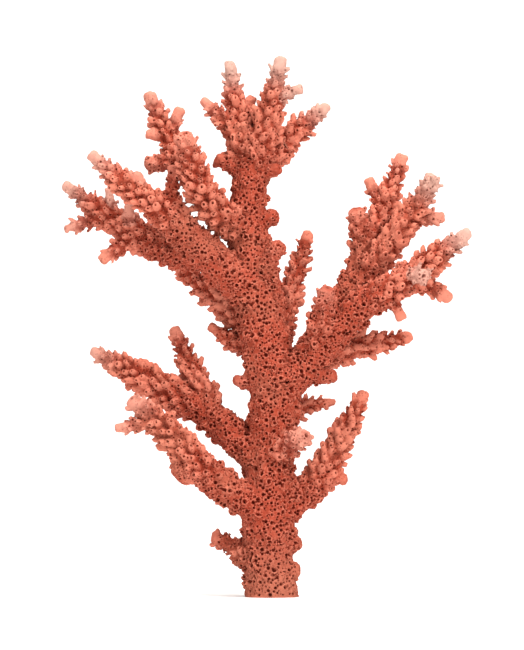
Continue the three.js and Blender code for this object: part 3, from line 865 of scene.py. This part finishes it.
    def seat_cups(self) -> Cups:
        """Sets the cups out on every limb in a spiral, small at the tip and sunk where the limb is old."""
        origins, frames, scales, holes = [], [], [], []
        for number, spine in enumerate(self.spines.values()):
            distances = self.cup_rows(spine)
            count = len(distances)
            if not count:
                continue
            place, heading, radius = spine.at(distances)
            radius = self.core(number, distances, radius)
            side = np.array([1.0, 0, 0]) if abs(spine.headings[:, 1]).max() > 0.8 else np.array([0, 1.0, 0])
            across = unit(side - heading * (heading @ side)[:, None])
            around = np.cross(heading, across)
            turn = np.arange(count) * GOLDEN_ANGLE + self.dice.normal(0.0, 0.16, count) + self.dice.uniform(0, 6.28)
            radial = across * np.cos(turn)[:, None] + around * np.sin(turn)[:, None]
            age = self.age(np.full(count, number), distances)
            from_tip = spine.length - distances
            lean = self.lean_young + (self.lean_old - self.lean_young) * age + self.dice.normal(0.0, 0.1, count)
            lean += 0.2 * (1.0 - ease(from_tip, 2.0, 10.0))
            sway = self.dice.normal(0.0, 0.14, count)
            axis = radial * np.cos(lean)[:, None] + heading * np.sin(lean)[:, None]
            axis = unit(axis + np.cross(heading, radial) * sway[:, None])
            outward = unit(radial - axis * (radial * axis).sum(1)[:, None])
            size = (0.62 + 0.38 * ease(from_tip, 2.5, 13.0)) * self.dice.uniform(0.86, 1.14, count)
            size *= np.minimum(1.0, 0.55 + 0.16 * radius)
            height = size * (1.0 - 0.62 * age) * self.dice.uniform(0.8, 1.15, count)
            keep = self.dice.random(count) > 0.6 * ease(age, 0.5, 1.0)
            keep &= place[:, 2] > self.bare_foot
            origins.append((place + radial * (radius - 0.12)[:, None])[keep])
            frames.append(np.stack([outward, np.cross(axis, outward), axis], axis=2)[keep])
            scales.append(np.column_stack([size, size, height])[keep])
            holes.append((size * (1.0 + 0.6 * age))[keep])
        return Cups(np.vstack(origins), np.vstack(frames), np.vstack(scales), np.concatenate(holes))

    def cup_rows(self, spine: Spine) -> np.ndarray:
        """Gives the distances along a spine at which its cups sit, one after the other."""
        rows, distance = [], 1.5
        last = spine.length - self.bare_tip * (1.0 if spine.radii[-1] < self.blunt_tip else 0.35)
        while distance < last:
            rows.append(distance)
            radius = float(np.interp(distance, spine.distances, spine.radii)) + 0.5
            distance += self.cup_area / (2.0 * math.pi * radius)
        return np.array(rows)

    def fuse(self, limbs: bpy.types.Object, cups: Cups) -> bpy.types.Object:
        """Grows limbs and cups into one skin.

        Args:
            limbs: The mesh of the limbs.
            cups: Where the cups sit.

        Returns:
            The skin, with its lumps and grain.
        """
        cast = self.cup.build().cast("cups", cups.origins, cups.frames, cups.scales)
        pick(limbs, cast)
        bpy.ops.object.join()
        finish_with(limbs, "REMESH", mode="VOXEL", voxel_size=self.voxel, adaptivity=0.0)
        finish_with(limbs, "SMOOTH", factor=0.5, iterations=2)
        for name, size, depth, strength in (("lumps", 5.0, 1, 1.2), ("knots", 2.2, 1, 0.7), ("grain", 0.9, 2, 0.34)):
            clouds = bpy.data.textures.new(name, "CLOUDS")
            clouds.noise_scale = size
            clouds.noise_depth = depth
            finish_with(limbs, "DISPLACE", texture=clouds, texture_coords="LOCAL", strength=strength, mid_level=0.5)
        return limbs

    def sow_pits(self, skin: bpy.types.Object) -> tuple[np.ndarray, np.ndarray, np.ndarray]:
        """Chooses where the skeleton is pitted: closely on old growth, finely between the cups of young growth.

        Args:
            skin: The fused skin.

        Returns:
            The pits' places, the skin's normals there, and the pits' radii.
        """
        mesh = skin.data
        count = len(mesh.vertices)
        corners = read_corners(skin)
        normals = np.empty(count * 3)
        mesh.vertex_normals.foreach_get("vector", normals)
        normals = normals.reshape(-1, 3)
        chosen = self.dice.permutation(count)[: self.pit_tries]
        corners, normals = corners[chosen], normals[chosen]
        limb, distance, proud = self.nearest(corners)
        age = self.age(limb, distance)
        from_tip = self.limb_length[limb] - distance
        usual = self.pit.young_radius + self.pit.old_gain * ease(age, 0.1, 0.8)
        radius = usual * self.dice.uniform(0.6, 1.55, len(age))
        apart = 0.14 + 1.75 * radius + 0.25 * (1.0 - age)
        smooth_tip = 4.0 - 3.6 * np.maximum(self.limb_age[limb], self.limb_blunt[limb])
        fits = (proud < 0.9 + 0.9 * age) & (from_tip > smooth_tip) & (corners[:, 2] > 0.8)
        cell = 2.2
        grid: dict[tuple[int, int, int], list[int]] = {}
        kept = []
        keys = np.floor(corners / cell).astype(int)
        for i in np.flatnonzero(fits):
            x, y, z = keys[i]
            near = [
                j
                for a in (x - 1, x, x + 1)
                for b in (y - 1, y, y + 1)
                for c in (z - 1, z, z + 1)
                for j in grid.get((a, b, c), ())
            ]
            if near and (((corners[near] - corners[i]) ** 2).sum(1) < apart[i] ** 2).any():
                continue
            grid.setdefault((x, y, z), []).append(i)
            kept.append(i)
        return corners[kept], normals[kept], radius[kept]

    def drill(self, skin: bpy.types.Object, cups: Cups) -> None:
        """Hollows the mouths of cups and tips, and pits the skin, by pressing its corners in.

        Args:
            skin: The fused skin.
            cups: Where the cups sit.
        """
        pit_places, pit_axes, pit_radii = self.sow_pits(skin)
        cup_axes = cups.frames[:, :, 2]
        mouths = cups.origins + cup_axes * (cups.scales[:, 2] * self.cup.height)[:, None]
        tips = [s.at(np.array([s.length])) for s in self.spines.values()]
        places = np.vstack([pit_places, mouths] + [t[0] for t in tips])
        axes = np.vstack([pit_axes, cup_axes] + [t[1] for t in tips])
        tip_radii = [0.3 * s.radii[-1] for s in self.spines.values()]
        radii = np.concatenate([pit_radii, cups.holes * self.cup.hollow, tip_radii])
        LOG.info("cups %d, pits %d", len(mouths), len(pit_places))
        corners = read_corners(skin)
        hollow = np.zeros(len(corners))
        wall = np.zeros(len(corners))
        push = np.zeros_like(corners)
        grid = CornerGrid(corners)
        for place, axis, radius, code in zip(places, axes, radii, grid.codes(places)):
            near = grid.near(code)
            away = corners[near] - place
            along = away @ axis
            wide = np.linalg.norm(away - along[:, None] * axis, axis=1)
            inside = (wide < self.pit.reach * radius) & (np.abs(along) < self.pit.grip)
            near, wide = near[inside], wide[inside] / radius
            sunk = 1.0 - ease(wide, self.pit.floor, self.pit.wall)
            lip = np.exp(-(((wide - self.pit.lip_at) / self.pit.lip_width) ** 2))
            depth = self.pit.depth * radius
            push[near] += axis * (self.pit.lip_height * lip - depth * sunk)[:, None]
            hollow[near] = np.maximum(hollow[near], sunk)
            wall[near] = np.maximum(wall[near], lip)
        skin.data.vertices.foreach_set("co", (corners + push).ravel())
        # The hollow mark steers painted shade in the pits, and the lip mark steers painted highlight on their lips.
        for name, values in (("hollow", hollow), ("lip", wall * (1.0 - hollow))):
            skin.data.attributes.new(name, "FLOAT", "POINT").data.foreach_set("value", values.astype(np.float32))
        skin.data.update()

    def saw_foot(self, trunk: bpy.types.Object) -> None:
        """Saws the foot flat at the origin's height and closes the cut."""
        pick(trunk)
        bpy.ops.object.mode_set(mode="EDIT")
        bpy.ops.mesh.select_all(action="SELECT")
        bpy.ops.mesh.bisect(plane_co=(0, 0, 0), plane_no=(0, 0, 1), use_fill=True, clear_inner=True)
        bpy.ops.object.mode_set(mode="OBJECT")

    def part(self, skin: bpy.types.Object) -> dict[str, bpy.types.Object]:
        """Takes the skin apart at the forks into its named pieces, and closes each where it parts.

        Args:
            skin: The drilled skin.

        Returns:
            The pieces by name.
        """
        mesh = skin.data
        middles = np.empty(len(mesh.polygons) * 3, np.float32)
        mesh.polygons.foreach_get("center", middles)
        limb, distance, _ = self.nearest(middles.reshape(-1, 3))
        names = list(PIECES)
        free = np.array([names.index(x.piece) for x in LIMBS.values()], np.int32)
        stub = np.array([names.index(x.stub or x.piece) for x in LIMBS.values()], np.int32)
        parts_at = np.array([x.parts_at for x in LIMBS.values()])
        owner = np.where(distance < parts_at[limb], stub[limb], free[limb]).astype(np.int32)
        loose = Seams(mesh, owner).clean()
        for name in names:
            mesh.materials.append(bpy.data.materials.new(name))
        mesh.polygons.foreach_set("material_index", owner)
        pick(skin)
        self.drop(skin, loose)
        bpy.ops.mesh.separate(type="MATERIAL")
        pieces: dict[str, bpy.types.Object] = {}
        for model in list(bpy.context.selected_objects):
            name = model.data.materials[model.data.polygons[0].material_index].name
            model.data.materials.clear()
            model.name = model.data.name = name + "_skin"
            pieces[name] = model
            self.thin(model, self.most_of_piece)
            if name == "trunk":
                self.saw_foot(model)
            self.cap(model)
        return pieces

    def cap(self, piece: bpy.types.Object) -> None:
        """Caps a piece where it has come away from its neighbours."""
        pick(piece)
        bpy.ops.object.mode_set(mode="EDIT")
        bpy.ops.mesh.select_all(action="SELECT")
        bpy.ops.mesh.fill_holes(sides=0)
        bpy.ops.mesh.select_mode(type="EDGE")
        bpy.ops.mesh.select_all(action="DESELECT")
        bpy.ops.mesh.select_non_manifold(
            use_wire=False, use_multi_face=False, use_non_contiguous=False, use_verts=False
        )
        if piece.data.total_edge_sel:
            bpy.ops.mesh.fill()
        bpy.ops.object.mode_set(mode="OBJECT")

    def drop(self, skin: bpy.types.Object, loose: np.ndarray) -> None:
        """Takes the faces that are marked loose off the skin."""
        bpy.ops.object.mode_set(mode="EDIT")
        bpy.ops.mesh.select_mode(type="FACE")
        bpy.ops.mesh.select_all(action="DESELECT")
        bpy.ops.object.mode_set(mode="OBJECT")
        skin.data.polygons.foreach_set("select", loose)
        bpy.ops.object.mode_set(mode="EDIT")
        bpy.ops.mesh.delete(type="FACE")
        bpy.ops.object.mode_set(mode="OBJECT")

    def thin(self, model: bpy.types.Object, most: int) -> None:
        """Brings a model down to the triangles it may have, if it has more."""
        count = count_triangles(model)
        if count > most:
            finish_with(model, "DECIMATE", decimate_type="COLLAPSE", ratio=most / count)

    def tint(self, piece: bpy.types.Object) -> None:
        """Writes on each corner how proud, old, pale and sharp-edged the skeleton is there; proudness and sharp edges
        steer the painted shade and highlight.
        """
        mesh = piece.data
        count = len(mesh.vertices)
        corners = read_corners(piece)
        limb, distance, proud = self.nearest(corners)
        from_tip = self.limb_length[limb] - distance
        pale = self.limb_pale[limb] * (1.0 - ease(from_tip, 2.0, 15.0))
        # Young tips count as prouder, which gives them more painted highlight.
        proud = proud + 1.5 * (1.0 - ease(from_tip, 1.5, 5.0)) * (1.0 - self.limb_age[limb])
        edges = np.empty(len(mesh.edges) * 2, np.int32)
        mesh.edges.foreach_get("vertices", edges)
        a, b = edges.reshape(-1, 2).T
        degree = np.maximum(np.bincount(np.append(a, b), minlength=count), 1)
        normals = np.empty(count * 3)
        mesh.vertex_normals.foreach_get("vector", normals)
        normals = normals.reshape(-1, 3)
        step = corners[b] - corners[a]
        reach = np.maximum(np.linalg.norm(step, axis=1), 1e-6)
        slope = np.bincount(a, (step * normals[a]).sum(1) / reach, count)
        slope += np.bincount(b, (-step * normals[b]).sum(1) / reach, count)
        edge = np.clip(-slope / degree, -1.0, 1.0)
        tints = {"proud": proud, "age": self.age(limb, distance), "pale": pale, "edge": edge}
        for name, values in tints.items():
            mesh.attributes.new(name, "FLOAT", "POINT").data.foreach_set("value", values.astype(np.float32))

    def build(self) -> dict[str, bpy.types.Object]:
        """Makes every piece, in metres, with its tints.

        Returns:
            The pieces by name.
        """
        limbs = self.raise_limbs()
        cups = self.seat_cups()
        skin = self.fuse(limbs, cups)
        LOG.info("skin fused: %d faces", len(skin.data.polygons))
        self.drill(skin, cups)
        self.thin(skin, self.most_triangles)
        pieces = self.part(skin)
        for piece in pieces.values():
            self.tint(piece)
            pick(piece)
            bpy.ops.object.shade_smooth_by_angle(angle=math.radians(70))
            piece.data.transform(Matrix.Scale(MM, 4))
        return pieces


class Shade:
    """A shader value that adds its own Math nodes when it is worked with."""

    def __init__(self, book: "ShaderBook", socket: bpy.types.NodeSocket) -> None:
        """Wraps a socket of a book's material."""
        self.book = book
        self.socket = socket

    def _math(self, operation: str, first: Any, second: Any) -> "Shade":
        """Adds one Math node."""
        node = self.book.node("ShaderNodeMath", {"operation": operation}, {0: first, 1: second})
        return Shade(self.book, node.outputs[0])

    def __add__(self, other: Any) -> "Shade":
        """Adds."""
        return self._math("ADD", self, other)

    __radd__ = __add__

    def __sub__(self, other: Any) -> "Shade":
        """Takes away."""
        return self._math("SUBTRACT", self, other)

    def __rsub__(self, other: Any) -> "Shade":
        """Is taken away from a number."""
        return self._math("SUBTRACT", other, self)

    def __mul__(self, other: Any) -> "Shade":
        """Multiplies."""
        return self._math("MULTIPLY", self, other)

    __rmul__ = __mul__

    def ramp(self, low: float, high: float) -> "Shade":
        """Runs smoothly from 0 at low to 1 at high."""
        settings = {"interpolation_type": "SMOOTHSTEP"}
        node = self.book.node("ShaderNodeMapRange", settings, {"Value": self, "From Min": low, "From Max": high})
        return Shade(self.book, node.outputs[0])


class ShaderBook:
    """The nodes of one material."""

    def __init__(self, name: str) -> None:
        """Starts a material with an empty node tree."""
        self.material = bpy.data.materials.new(name)
        self.material.use_nodes = True
        self.tree = self.material.node_tree
        self.tree.nodes.clear()

    def node(self, kind: str, settings: dict[str, Any], sockets: dict[str | int, Any]) -> bpy.types.Node:
        """Adds a node.

        Args:
            kind: The node's type.
            settings: Its settings, set first.
            sockets: The values or links of its inputs.

        Returns:
            The node.
        """
        node = self.tree.nodes.new(kind)
        for key, value in settings.items():
            setattr(node, key, value)
        for key, value in sockets.items():
            if isinstance(value, Shade):
                self.tree.links.new(value.socket, node.inputs[key])
            else:
                node.inputs[key].default_value = value
        return node

    def read(self, attribute: str) -> Shade:
        """Reads one of the tints that a piece carries."""
        node = self.node("ShaderNodeAttribute", {"attribute_name": attribute}, {})
        return Shade(self, node.outputs["Fac"])

    def blend(self, share: Any, first: Any, second: Any, how: str = "MIX") -> Shade:
        """Mixes two colours.

        Args:
            share: How much of the second there is.
            first: A colour.
            second: Another colour.
            how: How the second is laid on the first.

        Returns:
            The mixed colour.
        """
        settings = {"data_type": "RGBA", "blend_type": how}
        node = self.node("ShaderNodeMix", settings, {0: share, 6: first, 7: second})
        return Shade(self, node.outputs[2])


Colour = tuple[float, float, float, float]


@dataclass(frozen=True)
class CoralFinish:
    """The skeleton's colour: red-orange walls and pale tips, with painted shade, a deep red, in the hollows, and a
    painted peach highlight on rims.

    Attributes:
        name: The material's name.
        deep: Painted shade, a colour laid in pits, in pores and in the valleys between cups.
        wall: The colour of the walls.
        painted_highlight: Painted highlight, a peach laid on rims, lips, sharp edges and proud cup ends.
        tip: The colour of the palest tips.
        foot: The paler colour laid in patches all over and towards the bottom of the foot.
        pore: The size of the finest pores, in millimetres.
        roughness: How matte it is.
    """

    name: str
    deep: Colour = (0.105, 0.0065, 0.002, 1)
    wall: Colour = (0.285, 0.043, 0.022, 1)
    painted_highlight: Colour = (0.53, 0.160, 0.105, 1)
    tip: Colour = (0.46, 0.275, 0.225, 1)
    foot: Colour = (0.40, 0.135, 0.085, 1)
    pore: float = 0.62
    roughness: float = 0.82

    def make(self) -> bpy.types.Material:
        """Builds the material."""
        book = ShaderBook(self.name)
        place = Shade(book, book.node("ShaderNodeTexCoord", {}, {}).outputs["Object"])
        mottle = self.noise(book, place, 170.0, 3.0)
        grain = self.noise(book, place, 1500.0, 4.0)
        pores = self.pores(book, place)
        hollow, proud, age = book.read("hollow"), book.read("proud"), book.read("age")
        pale, edge = book.read("pale"), book.read("edge")
        # Painted shade and highlight: low where the skin sinks between cups, high where it stands proud, a flat
        # middle value on old growth.
        painted_relief_light = (0.2 + 0.8 * proud.ramp(-0.9, 1.4)) * (1 - age) + age * 0.42
        tone = painted_relief_light + (mottle - 0.5) * 0.5 + (grain - 0.5) * 0.35
        # Painted shade: where the skin sinks low between cups it turns to the deep colour, over the red-orange wall
        # colour.
        skin = book.blend(tone.ramp(0.0, 0.42), self.deep, self.wall)
        # Painted highlight on the proud tops and cup ends, in peach.
        skin = book.blend(tone.ramp(0.35, 1.0), skin, self.painted_highlight)
        # Painted highlight along sharp convex edges.
        skin = book.blend(edge.ramp(0.12, 0.6) * 0.5, skin, self.painted_highlight)
        # Painted highlight on the raised lips round pits and cup mouths.
        skin = book.blend(book.read("lip").ramp(0.15, 0.9) * 0.55, skin, self.painted_highlight)
        patch = self.noise(book, place, 55.0, 2.0)
        skin = book.blend(patch.ramp(0.48, 0.72) * 0.4, skin, self.foot)
        height = Shade(book, book.node("ShaderNodeSeparateXYZ", {}, {0: place}).outputs[2])
        # Paler towards the bottom.
        skin = book.blend((1 - height.ramp(0.004, 0.024)) * 0.55, skin, self.foot)
        pallor = pale * (0.55 + 0.45 * mottle) * (0.75 + 0.25 * proud.ramp(-0.9, 0.9))
        skin = book.blend(pallor.ramp(0.05, 0.85), skin, self.tip)
        # Painted shade inside pits, cup mouths and tip hollows, weaker on pale tips.
        dark = (hollow.ramp(0.25, 1.0) * 0.84) * (1 - pale * 0.5)
        skin = book.blend(dark, skin, self.deep)
        # Painted shade in the finest pores, weaker on pale tips.
        skin = book.blend(pores * (0.72 - pale * 0.35), skin, self.deep)
        bump = book.node(
            "ShaderNodeBump", {}, {"Strength": 0.55, "Distance": 0.00022, "Height": grain * 0.6 - pores * 0.9}
        )
        surface = book.node(
            "ShaderNodeBsdfPrincipled",
            {},
            {
                "Base Color": skin,
                "Roughness": self.roughness + (grain - 0.5) * 0.16,
                "Specular IOR Level": 0.08,
                "Normal": Shade(book, bump.outputs[0]),
            },
        )
        book.node("ShaderNodeOutputMaterial", {}, {"Surface": Shade(book, surface.outputs[0])})
        return book.material

    def noise(self, book: ShaderBook, place: Shade, scale: float, detail: float) -> Shade:
        """Adds soft noise on the piece's own coordinates."""
        node = book.node("ShaderNodeTexNoise", {}, {"Vector": place, "Scale": scale, "Detail": detail})
        return Shade(book, node.outputs[0])

    def pores(self, book: ShaderBook, place: Shade) -> Shade:
        """Adds the finest pores, which are too small to model."""
        cells = book.node("ShaderNodeTexVoronoi", {}, {"Vector": place, "Scale": 1.0 / (self.pore * MM)})
        patch = self.noise(book, place, 420.0, 1.0)
        return (1 - Shade(book, cells.outputs["Distance"]).ramp(0.16, 0.36)) * patch.ramp(0.42, 0.6)


@dataclass
class Studio:
    """A plain pale sweep, soft lights and the camera.

    Attributes:
        middle: Where the middle of the picture is, across and up, in millimetres.
        frame_height: How much of the coral's height the picture holds, in millimetres.
        distance: How far away the camera stands, in millimetres.
        sensor: How tall the camera's sensor is, in millimetres.
        aim_height: How high on the coral the lights aim, in metres.
        floor_size: How wide the floor is, in metres.
        floor_shift: How far back the middle of the floor lies, in metres.
        wall_height: How high the backdrop rises, in metres.
        sweep: The radius of the curve between them, in metres.
    """

    middle: tuple[float, float] = (-2.7, 81.6)
    frame_height: float = 195.0
    distance: float = 2200.0
    sensor: float = 24.0
    aim_height: float = 0.085
    floor_size: float = 6.0
    floor_shift: float = -1.6
    wall_height: float = 3.0
    sweep: float = 0.7

    def build_floor(self) -> bpy.types.Object:
        """Makes the floor, which curves up into a backdrop."""
        bpy.ops.object.select_all(action="DESELECT")
        bpy.ops.mesh.primitive_plane_add(size=self.floor_size, location=(0, self.floor_shift, 0))
        floor = bpy.context.object
        floor.name = "floor"
        bpy.ops.object.transform_apply(location=True, rotation=True, scale=True)
        bpy.ops.object.mode_set(mode="EDIT")
        bpy.ops.mesh.select_mode(type="EDGE")
        bpy.ops.mesh.select_all(action="DESELECT")
        bpy.ops.object.mode_set(mode="OBJECT")
        for edge in floor.data.edges:
            edge.select = all(floor.data.vertices[v].co.y > 1.0 for v in edge.vertices)
        bpy.ops.object.mode_set(mode="EDIT")
        bpy.ops.mesh.extrude_region_move(TRANSFORM_OT_translate={"value": (0, 0, self.wall_height)})
        bpy.ops.object.mode_set(mode="OBJECT")
        for edge in floor.data.edges:
            ends = [floor.data.vertices[v].co for v in edge.vertices]
            edge.select = all(end.y > 1.0 and end.z < 0.1 for end in ends)
        bpy.ops.object.mode_set(mode="EDIT")
        bpy.ops.mesh.bevel(offset=self.sweep, segments=12)
        bpy.ops.object.mode_set(mode="OBJECT")
        bpy.ops.object.shade_smooth()
        book = ShaderBook("pale_paper")
        place = Shade(book, book.node("ShaderNodeTexCoord", {}, {}).outputs["Object"])
        speck = Shade(book, book.node("ShaderNodeTexNoise", {}, {"Vector": place, "Scale": 60.0}).outputs[0])
        paper = book.blend(speck, (0.86, 0.86, 0.86, 1), (0.88, 0.88, 0.88, 1))
        surface = book.node("ShaderNodeBsdfPrincipled", {}, {"Base Color": paper, "Roughness": 0.9})
        book.node("ShaderNodeOutputMaterial", {}, {"Surface": Shade(book, surface.outputs[0])})
        floor.data.materials.append(book.material)
        return floor

    def add_light(self, name: str, place: tuple[float, float, float], size: float, power: float) -> None:
        """Hangs one soft light that faces the coral.

        Args:
            name: The light's name.
            place: Where it hangs, in metres.
            size: Its width, in metres.
            power: Its power, in watts.
        """
        lamp = bpy.data.lights.new(name, "AREA")
        lamp.size = size
        lamp.energy = power
        lamp.color = (1.0, 0.97, 0.93)
        light = bpy.data.objects.new(name, lamp)
        bpy.context.collection.objects.link(light)
        light.location = place
        aim = Vector((0.0, 0.0, self.aim_height)) - Vector(place)
        light.rotation_euler = aim.to_track_quat("-Z", "Y").to_euler()

    def build(self) -> None:
        """Sets the stage, the lights and the camera."""
        self.build_floor()
        self.add_light("key", (0.55, -0.75, 0.75), 0.45, 12.0)
        self.add_light("fill", (-0.9, -0.9, 0.35), 0.9, 4.5)
        self.add_light("top", (0.0, 0.1, 1.2), 0.8, 7.0)
        self.add_light("backdrop_wash", (0.0, -0.4, 1.6), 1.2, 30.0)
        world = bpy.data.worlds.new("studio")
        bpy.context.scene.world = world
        world.use_nodes = True
        world.node_tree.nodes["Background"].inputs[0].default_value = (1.0, 1.0, 1.0, 1)
        world.node_tree.nodes["Background"].inputs[1].default_value = 0.45
        camera = bpy.data.cameras.new("camera")
        camera.sensor_fit = "VERTICAL"
        camera.sensor_height = self.sensor
        camera.lens = self.sensor * self.distance / self.frame_height
        camera.clip_end = 50.0
        holder = bpy.data.objects.new("camera", camera)
        bpy.context.collection.objects.link(holder)
        holder.location = (self.middle[0] * MM, -self.distance * MM, self.middle[1] * MM)
        holder.rotation_euler = (math.radians(90), 0, 0)
        scene = bpy.context.scene
        scene.camera = holder
        scene.view_settings.view_transform = "Standard"


def main() -> None:
    """Builds the coral and its stage."""
    logging.basicConfig(level=logging.INFO, format="%(relativeCreated)d %(message)s", stream=sys.stdout)
    coral = Coral()
    pieces = coral.build()
    finishes = {growth: CoralFinish(growth.value).make() for growth in Growth}
    for name, growth in PIECES.items():
        piece = pieces[name]
        piece.data.materials.append(finishes[growth])
        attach(piece, "root")
        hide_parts(name)
        LOG.info("%s: %d triangles", piece.name, count_triangles(piece))
    Studio().build()


if __name__ == "__main__":
    main()
